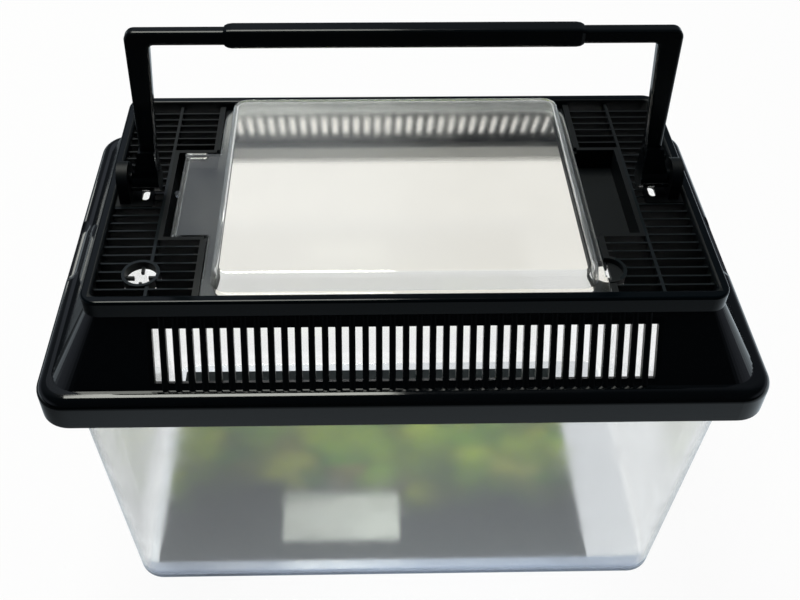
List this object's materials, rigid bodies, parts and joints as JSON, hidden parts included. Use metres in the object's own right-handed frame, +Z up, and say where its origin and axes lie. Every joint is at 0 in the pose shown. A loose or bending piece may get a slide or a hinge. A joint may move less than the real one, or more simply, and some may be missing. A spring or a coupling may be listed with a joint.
{
  "type": "plastic breeding box",
  "caption": "Clear tapered plastic tank with a glossy black vented lid, a grille deck, a clear lift-out feeding hatch and a folding carry handle.",
  "frame": {"origin": "middle of the tank's underside, on the surface it stands on", "axes": "+X to the right across the width, +Y to the back, +Z up"},
  "size_m": [0.23, 0.14, 0.2132],
  "materials": {
    "clear_tank": "clear gloss",
    "printed_card": "matte print",
    "black_lid": "gloss",
    "clear_hatch": "clear gloss",
    "black_handle": "satin"
  },
  "bodies": {
    "tank": {"tank": "clear_tank", "insert_card": "printed_card"},
    "lid": {"lid_shell": "black_lid", "front_vent_grille": "black_lid", "rear_vent_grille": "black_lid", "lid_deck": "black_lid", "left_deck_grille": "black_lid", "right_deck_grille": "black_lid", "front_left_grille": "black_lid", "front_right_grille": "black_lid", "rear_left_grille": "black_lid", "rear_right_grille": "black_lid"},
    "hatch": {"hatch": "clear_hatch"},
    "handle": {"handle": "black_handle"}
  },
  "joints": [
    {"name": "lid_lift", "type": "slide", "parent": "tank", "child": "lid", "axis": [0, 0, 1], "range_m": [0, 0.06]},
    {"name": "hatch_lift", "type": "slide", "parent": "lid", "child": "hatch", "axis": [0, 0, 1], "range_m": [0, 0.04]},
    {"name": "handle_fold", "type": "hinge", "parent": "lid", "child": "handle", "pos_m": [0, 0, 0.1577], "axis": [1, 0, 0], "range_deg": [-91, 91]}
  ]
}
